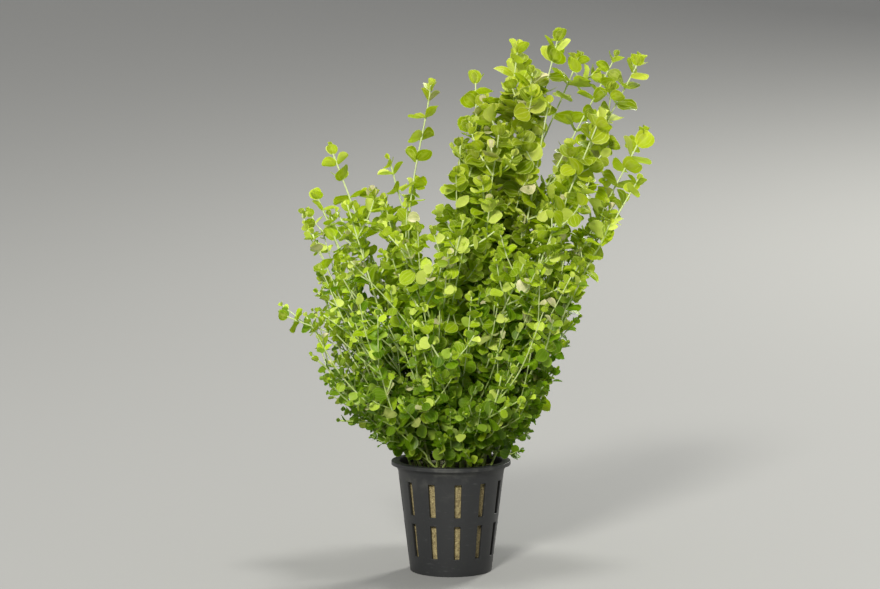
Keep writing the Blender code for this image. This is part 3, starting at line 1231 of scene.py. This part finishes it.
    def grow(self, line: np.ndarray, habit: Habit, lowest: float, branching: bool) -> None:
        """Grows one axis with its leaf pairs, and side shoots where it may branch.

        Args:
            line: The line that it takes.
            habit: Its sizes.
            lowest: How far along the line the lowest pair may be.
            branching: Whether side shoots grow from it.
        """
        chance = self.chance
        along = distance_along(line)
        length = float(along[-1])
        turn = chance.uniform(0, math.tau)
        place, rank, nodes, axils = length - self.tip_gap, 0, [], []
        odds = self.side_share * self.vigour / 2
        while place > lowest:
            node = point_at(line, along, place)
            ahead = point_at(line, along, min(length, place + self.stem_step))
            behind = point_at(line, along, place - self.stem_step)
            upward = (ahead - behind).normalized()
            square = (Vector((0.0, 1.0, 0.0)) - upward * upward.y).normalized()
            side = upward.cross(square)
            heading = turn + rank * math.pi / 2 + math.radians(chance.gauss(0, habit.turn_play))
            outward = square * math.cos(heading) + side * math.sin(heading)
            age = min(1.0, rank / self.grown_rank)
            size = habit.blade(rank, chance) * self.size_at(node.z) * self.vigour
            for way in (1, -1):
                self.add_leaf(node + outward * way * self.leaf_offset, outward * way, upward, size, age)
                if branching and place < length - self.clear_end and chance.random() < odds:
                    axils.append((node, outward * way, upward, place / length))
            nodes.append(place)
            place -= habit.gap(rank, chance) / self.vigour
            rank += 1
        self.add_stem(line, nodes, habit)
        for node, outward, upward, share in axils:
            self.branch(node, outward, upward, share)

    def branch(self, node: Vector, outward: Vector, upward: Vector, share: float) -> None:
        """Grows a side shoot out of a leaf axil, if it has somewhere to go.

        Args:
            node: The node that it grows from.
            outward: The way that its leaf points.
            upward: The way that the stem grows.
            share: How far up the stem the node is.
        """
        length = self.chance.uniform(*self.side_lengths) * (1.25 - 0.75 * share)
        lean = math.radians(self.chance.uniform(*self.side_leans))
        away = outward * math.sin(lean) + upward * math.cos(lean)
        self.shoot_out(node, away, length, self.chance.uniform(*self.side_rises), SIDE_HABIT)

    def shoot_out(self, node: Vector, away: Vector, length: float, rise: float, habit: Habit) -> None:
        """Grows a curved axis, if its middle and its tip have somewhere to be.

        Args:
            node: Where it starts.
            away: The way that it starts.
            length: How long it is.
            rise: How strongly its outer half turns up.
            habit: Its sizes.
        """
        rising = (away + Vector((0, 0, rise))).normalized()
        first = node + away * length * 0.5
        tip = first + rising * length * 0.5
        past = tip + rising * self.end_room
        if not (self.outline.holds(first) and self.outline.holds(past, self.outline.dent(tip))):
            return
        self.side_count += 1
        line = smooth_curve(np.array([node, first, tip]), self.stem_step)
        self.grow(line, habit, self.end_room, False)

    def sprout(self, thicket: Thicket) -> None:
        """Grows one of the thin sprouts that close the bush, outwards from the stem.

        Args:
            thicket: Its kind.
        """
        chance = self.chance
        height = chance.uniform(*thicket.heights)
        if height > self.line[-1][2]:
            return
        along = distance_along(self.line)
        node = point_at(self.line, along, float(along[np.argmax(self.line[:, 2] > height)]))
        way = math.atan2(node.y, node.x) + chance.gauss(0, self.fan)
        away = Vector((math.cos(way), math.sin(way), chance.uniform(*thicket.rises))).normalized()
        length, rise = chance.uniform(*thicket.lengths), chance.uniform(*self.curl)
        self.shoot_out(node, away, length, rise, thicket.habit)

    def build(self, materials: Sequence[bpy.types.Material]) -> bpy.types.Object:
        """Grows the whole shoot and puts it in place of its plain solid.

        Args:
            materials: The stem's, the sunlit leaf's and the shaded leaf's.

        Returns:
            The piece.
        """
        along = distance_along(self.line)
        lowest = float(along[np.argmax(self.line[:, 2] > self.lowest_height)])
        self.grow(self.line, MAIN_HABIT, lowest, True)
        for thicket in THICKETS:
            for _ in range(thicket.count):
                self.sprout(thicket)
        mesh = into_mesh("leafy_" + self.name, self.bm)
        piece = add_piece("leafy_" + self.name, mesh, materials)
        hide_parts("shoot_" + self.name)
        log.info("%s: %d leaves, %d side shoots", piece.name, self.leaf_count, self.side_count)
        return piece


# The pot and its wool


@dataclass
class NetPot:
    """Thin black net pot: a tapering wall with two rows of slots, a slotted floor and a turned-out rim."""

    height: float = 50 * MM
    top_radius: float = 24.5 * MM
    foot_radius: float = 18.5 * MM
    wall: float = 1.2 * MM
    floor: float = 1.6 * MM
    rim_radius: float = 27 * MM
    rim_depth: float = 1.8 * MM
    slot_starts: Span = mm(8, 27)
    slot_length: float = 15 * MM
    floor_slot_start: float = 7.5 * MM
    floor_slot_length: float = 6.5 * MM
    bead_drop: float = 1.2 * MM
    bead_reach: float = 0.5 * MM
    columns: int = 96
    slots: int = 12
    slot_columns: float = 2.0
    slot_turn: float = 0.25
    floor_slots: int = 6
    floor_slot_turn: float = 0.125
    softening: float = 0.25 * MM
    sharp_angle: float = math.radians(35)

    def radius(self, height: float) -> float:
        """The outer radius of the wall at a height."""
        return self.foot_radius + (self.top_radius - self.foot_radius) * height / self.height

    def profile(self) -> list[Span]:
        """Draws the wall's section, anticlockwise from the foot.

        Returns:
            Its corners, as radius and height.
        """
        rows = [edge for start in self.slot_starts for edge in (start, start + self.slot_length)]
        under_rim = self.height - self.rim_depth
        bead = [under_rim - 2 * self.bead_drop, under_rim - self.bead_drop, under_rim]
        outside = [(self.radius(row), row) for row in rows]
        outside += [(self.radius(bead[0]), bead[0])]
        outside += [(self.radius(row) + self.bead_reach, row) for row in bead[1:]]
        rim = [(self.rim_radius, under_rim), (self.rim_radius, self.height)]
        top = [(self.radius(self.height) - self.wall, self.height)]
        inside = [(self.radius(row) - self.wall, row) for row in (*reversed(rows), self.floor)]
        ring_ends = (self.floor_slot_start + self.floor_slot_length, self.floor_slot_start)
        over = [(ring, self.floor) for ring in ring_ends] + [(0.0, self.floor)]
        under = [(0.0, 0.0)] + [(ring, 0.0) for ring in reversed(ring_ends)]
        return [(self.foot_radius, 0.0), *outside, *rim, *top, *inside, *over, *under]

    def window(self, bm: Shape, angle: float, inside: Callable[[Vector], bool]) -> None:
        """Opens one slot: takes out the faces on both sides of the wall and joins their edges.

        Args:
            bm: The turned pot.
            angle: The direction of the slot's middle.
            inside: Says whether a face's middle lies at the slot's height or reach.
        """
        width = self.slot_columns * math.pi / self.columns
        faces = []
        for face in bm.faces:
            middle = face.calc_center_median()
            apart = (math.atan2(middle.y, middle.x) - angle + math.pi) % math.tau - math.pi
            if abs(apart) < width and inside(middle):
                faces.append(face)
        edges = {edge for face in faces for edge in face.edges}
        rim = [edge for edge in edges if sum(face in faces for face in edge.link_faces) == 1]
        inner = [edge for edge in edges if edge not in rim]
        bmesh.ops.delete(bm, geom=faces, context="FACES_ONLY")
        bmesh.ops.delete(bm, geom=inner, context="EDGES")
        bmesh.ops.bridge_loops(bm, edges=rim)

    def build(self, finish: PotFinish) -> bpy.types.Object:
        """Turns the pot, opens its slots and rounds its edges.

        Args:
            finish: What it is made of.

        Returns:
            The piece.
        """
        bm = turn_section(self.profile(), self.columns, True)
        bmesh.ops.recalc_face_normals(bm, faces=bm.faces[:])
        pitch = math.tau / self.slots
        for start in self.slot_starts:
            for index in range(self.slots):
                low, high = start, start + self.slot_length
                self.window(bm, (index + self.slot_turn) * pitch, lambda spot: low < spot.z < high)
        low, high = self.floor_slot_start, self.floor_slot_start + self.floor_slot_length
        for index in range(self.floor_slots):
            angle = (index + self.floor_slot_turn) * math.tau / self.floor_slots
            self.window(bm, angle, lambda spot: low < spot.xy.length < high and spot.z < 2 * self.floor)
        bmesh.ops.recalc_face_normals(bm, faces=bm.faces[:])
        piece = add_piece("moulded_pot", into_mesh("moulded_pot", bm), [finish.material()])
        bevel = piece.modifiers.new("softened_edges", "BEVEL")
        bevel.width = self.softening
        bevel.segments = 2
        bevel.limit_method = "ANGLE"
        bevel.angle_limit = self.sharp_angle
        bevel.harden_normals = True
        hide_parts("net_pot")
        log.info("%s: %d slots", piece.name, 2 * self.slots + self.floor_slots)
        return piece


@dataclass
class WoolPlug:
    """The plug of mineral wool that the stems root in, felted and loose at its surface."""

    pot: NetPot
    feet: Sequence[np.ndarray]
    top: float = 47 * MM
    gap: float = 0.4 * MM
    segments: int = 72
    rows: int = 30
    rings: int = 20
    relief: float = 0.45 * MM
    felt_scale: float = 420.0
    grit_scale: float = 1100.0
    lump_scale: float = 130.0
    level: float = 0.6
    bulge: float = 0.9 * MM
    dip: float = 1.1 * MM
    dip_reach: float = 2.4 * MM
    slot_half_angle: float = math.radians(3.75)
    fibres: int = 420
    fibre_length: Span = mm(2.5, 7)
    fibre_radius: float = 0.07 * MM
    fibre_spread: float = 0.93
    fibre_bend: float = 0.5

    def plug(self) -> Shape:
        """Cuts the plain tapering plug into rows and rings fine enough for its relief.

        Returns:
            The plug.
        """
        low = self.pot.floor + self.gap
        inset = self.pot.wall + self.gap
        bm = bmesh.new()
        bmesh.ops.create_cone(
            bm,
            cap_ends=True,
            segments=self.segments,
            radius1=self.pot.radius(low) - inset,
            radius2=self.pot.radius(self.top) - inset,
            depth=self.top - low,
            matrix=Matrix.Translation((0, 0, (self.top + low) / 2)),
        )
        upright = [e for e in bm.edges if abs(e.verts[0].co.z - e.verts[1].co.z) > self.gap]
        bmesh.ops.subdivide_edges(bm, edges=upright, cuts=self.rows, use_grid_fill=True)
        bm.normal_update()
        cap = max(bm.faces, key=lambda face: face.calc_center_median().z)
        step = (self.pot.radius(self.top) - inset) / (self.rings + 1)
        for _ in range(self.rings):
            bmesh.ops.inset_region(bm, faces=[cap], thickness=step, use_even_offset=True)
        bmesh.ops.poke(bm, faces=[cap])
        bm.normal_update()
        return bm

    def at_slot(self, spot: Vector) -> float:
        """Says how far a spot of the plug's side lies behind a slot.

        Args:
            spot: The spot.

        Returns:
            1 behind the middle of a slot in the wall, and 0 behind the wall.
        """
        pitch = math.tau / self.pot.slots
        apart = (math.atan2(spot.y, spot.x) / pitch - self.pot.slot_turn + 0.5) % 1.0 - 0.5
        sideways = max(0.0, 1.0 - abs(apart) * pitch / self.slot_half_angle)
        best = 0.0
        for start in self.pot.slot_starts:
            share = (spot.z - start) / self.pot.slot_length
            if 0.0 < share < 1.0:
                best = min(1.0, 6.0 * share, 6.0 * (1.0 - share))
        return sideways * best

    def roughen(self, bm: Shape) -> None:
        """Gives the plug its felted relief, its bulges at the slots and its dips round the stems.

        Args:
            bm: The plug.
        """
        for vert in bm.verts:
            spot = vert.co.copy()
            fine = noise.noise(spot * self.felt_scale) + 0.6 * noise.noise(spot * self.grit_scale)
            if vert.normal.z > self.level:
                nearest = min(math.hypot(spot.x - foot[0], spot.y - foot[1]) for foot in self.feet)
                sunk = max(0.0, 1.0 - nearest / self.dip_reach)
                cloud = noise.noise(spot * self.lump_scale)
                vert.co.z += self.relief * (1.4 * fine + 1.2 * cloud) - self.dip * sunk - self.relief
            elif vert.normal.z > -self.level:
                out = Vector((spot.x, spot.y, 0.0)).normalized()
                vert.co += out * (self.relief * (0.7 * fine - 0.9) + self.bulge * self.at_slot(spot))

    def add_fibres(self, bm: Shape) -> None:
        """Lays loose fibres over the top of the plug.

        Args:
            bm: The plug.
        """
        chance = random.Random("wool fibres")
        reach = self.pot.radius(self.top) - self.pot.wall - 2 * self.gap
        for _ in range(self.fibres):
            way, out = chance.uniform(0, math.tau), reach * math.sqrt(chance.random()) * self.fibre_spread
            start = Vector((out * math.cos(way), out * math.sin(way), self.top - 0.6 * MM))
            heading = chance.uniform(0, math.tau)
            length = chance.uniform(*self.fibre_length)
            points = [start]
            for step in range(1, 5):
                heading += chance.gauss(0, self.fibre_bend)
                rise = chance.uniform(0.0, 0.35) * MM if step < 4 else -0.3 * MM
                onward = Vector((math.cos(heading), math.sin(heading), 0.0)) * length / 4
                point = points[-1] + onward + Vector((0.0, 0.0, rise))
                if point.xy.length > reach:
                    point.xy *= reach / point.xy.length
                points.append(point)
            if min((b - a).length for a, b in zip(points, points[1:])) > 0.2 * MM:
                join_in(bm, into_mesh("fibre", draw_tube(points, [self.fibre_radius] * 5, 3)))

    def build(self, finish: WoolFinish) -> bpy.types.Object:
        """Makes the plug and its loose fibres as one piece.

        Args:
            finish: What it is made of.

        Returns:
            The piece.
        """
        bm = self.plug()
        self.roughen(bm)
        self.add_fibres(bm)
        mesh = into_mesh("fibrous_wool", bm)
        piece = add_piece("fibrous_wool", mesh, [finish.material()])
        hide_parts("wool_plug")
        log.info("%s: %d fibres", piece.name, self.fibres)
        return piece


# The studio


@dataclass(frozen=True)
class Lamp:
    """One soft area light, aimed at the plant."""

    name: str
    place: Place
    size: float
    power: float
    colour: Colour

    def light(self, target: Vector) -> None:
        """Hangs the lamp and turns it to the target.

        Args:
            target: Where it points.
        """
        data = bpy.data.lights.new(self.name, "AREA")
        data.shape = "DISK"
        data.size = self.size
        data.energy = self.power
        data.color = self.colour
        lamp = bpy.data.objects.new(self.name, data)
        lamp.location = self.place
        lamp.rotation_euler = (target - lamp.location).to_track_quat("-Z", "Y").to_euler()
        bpy.context.scene.collection.objects.link(lamp)


@dataclass
class Studio:
    """Pale floor that turns up into a wall all round, soft light and the camera at the photo's angle."""

    lens: float = 85.0
    sensor: float = 36.0
    distance: float = 0.935
    elevation: float = 4.0
    aim: Place = (-5 * MM, 0.0, 125 * MM)
    floor_reach: float = 1.0
    cove_reach: float = 3.4
    cove_height: float = 1.2
    cove_steps: int = 24
    floor_sides: int = 96
    sky: Colour = (0.97, 0.98, 1.0)
    sky_strength: float = 0.40
    lamps: tuple[Lamp, ...] = (
        Lamp("key", (-0.75, -2.85, 1.75), 0.60, 120.0, (1.0, 0.98, 0.92)),
        Lamp("top", (0.35, -0.15, 3.10), 0.60, 44.0, (1.0, 0.99, 0.94)),
        Lamp("rim", (1.30, 2.30, 1.90), 0.70, 72.0, (1.0, 0.99, 0.92)),
    )

    def build(self, finish: FloorFinish) -> None:
        """Sets up the floor, the world, the lamps and the camera.

        Args:
            finish: What the floor is made of.
        """
        bpy.context.scene.view_settings.view_transform = "Standard"
        self.lay_floor(finish)
        self.light_world()
        for lamp in self.lamps:
            lamp.light(Vector(self.aim))
        self.add_camera()
        log.info("studio: %d lamps", len(self.lamps))

    def lay_floor(self, finish: FloorFinish) -> None:
        """Turns the floor's section, a level run and a cove that rises from its end, about the Z axis.

        Args:
            finish: What the floor is made of.
        """
        section = [(0.0, 0.0)]
        for step in range(self.cove_steps + 1):
            turn = step / self.cove_steps * math.pi / 2
            reach = self.floor_reach + self.cove_reach * math.sin(turn)
            section.append((reach, self.cove_height * (1.0 - math.cos(turn))))
        bm = turn_section(section, self.floor_sides, False)
        if bm.faces[:][0].normal.z < 0:
            bmesh.ops.reverse_faces(bm, faces=bm.faces)
        floor = bpy.data.objects.new("floor", into_mesh("floor", bm))
        floor.data.materials.append(finish.material())
        bpy.context.scene.collection.objects.link(floor)

    def light_world(self) -> None:
        """Gives the room its soft even light."""
        world = bpy.data.worlds.new("studio_air")
        world.use_nodes = True
        background = world.node_tree.nodes["Background"]
        background.inputs["Color"].default_value = (*self.sky, 1.0)
        background.inputs["Strength"].default_value = self.sky_strength
        bpy.context.scene.world = world

    def add_camera(self) -> None:
        """Puts the camera in front of the plant, a little above its middle."""
        data = bpy.data.cameras.new("camera")
        data.lens = self.lens
        data.sensor_width = self.sensor
        tilt = math.radians(self.elevation)
        back = Vector((0.0, -math.cos(tilt), math.sin(tilt)))
        camera = bpy.data.objects.new("camera", data)
        camera.location = Vector(self.aim) + back * self.distance
        camera.rotation_euler = (-back).to_track_quat("-Z", "Y").to_euler()
        bpy.context.scene.collection.objects.link(camera)
        bpy.context.scene.camera = camera


def main() -> None:
    """Builds the studio, the pot, the wool and every leafy shoot."""
    logging.basicConfig(level=logging.INFO, format="%(message)s")
    Studio().build(FloorFinish())
    lines = Planting().lines()
    pot = NetPot()
    pot.build(PotFinish())
    WoolPlug(pot, [line[0] for line in lines.values()]).build(WoolFinish())
    stock = BladeStock()
    stock.build()
    crowd = Crowd()
    materials = [StemFinish().material(), SUN_LEAF.material(), SHADE_LEAF.material()]
    outline = Outline()
    leaves = 0
    for name, line in lines.items():
        shoot = Shoot(name, line, stock, crowd, outline)
        shoot.build(materials)
        leaves += shoot.leaf_count
    log.info("%d leaves in all", leaves)


if __name__ == "__main__":
    main()
